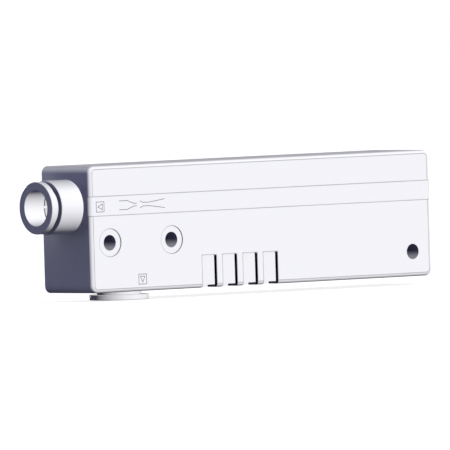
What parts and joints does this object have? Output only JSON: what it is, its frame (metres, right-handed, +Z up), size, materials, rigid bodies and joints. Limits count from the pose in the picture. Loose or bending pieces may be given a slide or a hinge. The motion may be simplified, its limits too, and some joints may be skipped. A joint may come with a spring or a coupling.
{
  "type": "vacuum ejector",
  "caption": "Box-shaped vacuum ejector with a built-in silencer, push-in supply and vacuum tube fittings, exhaust slots and screw mounting holes.",
  "frame": {"origin": "midway between the two mounting holes next to the ports, on the back mounting face", "axes": "+X from the supply end to the closed end, +Y out of the back mounting face, +Z up; the labelled front faces -Y"},
  "size_m": [0.164, 0.0257, 0.046],
  "materials": {
    "housing": "fine moulded texture",
    "cover": "fine moulded texture",
    "button": "smooth",
    "guide": "smooth",
    "collet": "smooth",
    "gripping_ring": "pressed sheet",
    "rubber": "smooth",
    "nozzle": "turned",
    "diffuser": "smooth",
    "sponge": "open cells"
  },
  "bodies": {
    "ejector": {"body": "housing", "rear_cover": "cover", "nozzle": "nozzle", "nozzle_seal": "rubber", "diffuser": "diffuser", "diffuser_seal": "rubber", "absorber_lower": "sponge", "absorber_upper": "sponge", "absorber_end": "sponge", "supply_guide": "guide", "supply_collet": "collet", "supply_chuck": "gripping_ring", "supply_seal": "rubber", "vacuum_guide": "guide", "vacuum_collet": "collet", "vacuum_chuck": "gripping_ring", "vacuum_seal": "rubber"},
    "supply_button": {"supply_release_button": "button"},
    "vacuum_button": {"vacuum_release_button": "button"}
  },
  "joints": [
    {"name": "supply_release", "type": "slide", "parent": "ejector", "child": "supply_button", "axis": [1, 0, 0], "range_m": [0, 0.0013], "stiffness_N_per_m": 800},
    {"name": "vacuum_release", "type": "slide", "parent": "ejector", "child": "vacuum_button", "axis": [0, 0, 1], "range_m": [0, 0.0008], "stiffness_N_per_m": 800}
  ]
}
